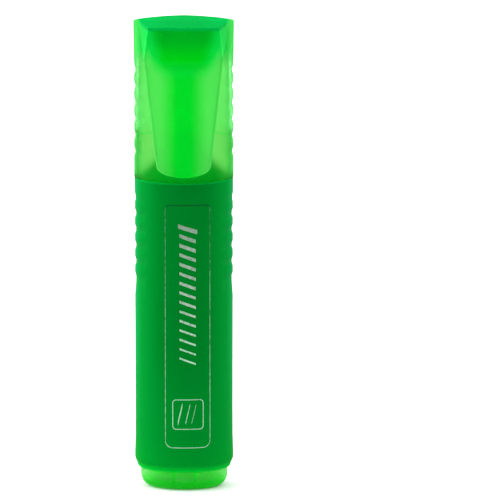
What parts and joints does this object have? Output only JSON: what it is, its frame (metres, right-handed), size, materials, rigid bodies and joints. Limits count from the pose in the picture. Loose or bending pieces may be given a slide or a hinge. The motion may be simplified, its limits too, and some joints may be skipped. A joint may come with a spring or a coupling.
{
  "type": "capped highlighter",
  "caption": "Flat-oval felt-tip highlighter with a push-on cap, a wide springy pocket clip, ribbed grip sides, a slanted chisel nib and a tail plug it can stand on.",
  "frame": {"origin": "centre of the tail plug's flat foot", "axes": "+Z along the pen towards the closed end of the cap, -Y out of the clip and print side, +X to the right of that side"},
  "size_m": [0.0248, 0.0188, 0.118],
  "materials": {
    "barrel_plastic": "satin moulded, fine grain",
    "nose_plastic": "satin moulded",
    "nib_felt": "dense ink-soaked fibre",
    "ink_fibre": "ink-soaked fibre",
    "clear_film": "thin clear film",
    "plug_plastic": "translucent fluorescent, soft gloss",
    "cap_plastic": "frosted translucent fluorescent, soft gloss",
    "liner_plastic": "frosted translucent fluorescent",
    "silver_foil": "hot-stamped foil"
  },
  "bodies": {
    "pen": {"barrel": "barrel_plastic", "nose_section": "nose_plastic", "nib": "nib_felt", "reservoir_core": "ink_fibre", "reservoir_sleeve": "clear_film", "tail_plug": "plug_plastic"},
    "cap": {"cap_shell": "cap_plastic", "inner_cap": "liner_plastic"},
    "clip": {"pocket_clip": "cap_plastic"}
  },
  "joints": [
    {"name": "cap_pull", "type": "slide", "parent": "pen", "child": "cap", "axis": [0, 0, 1], "range_m": [0, 0.045]},
    {"name": "clip_flex", "type": "hinge", "parent": "cap", "child": "clip", "pos_m": [0, -0.00972, 0.10964], "axis": [-1, 0, 0], "range_deg": [0, 4], "stiffness_Nm_per_rad": 0.6}
  ]
}
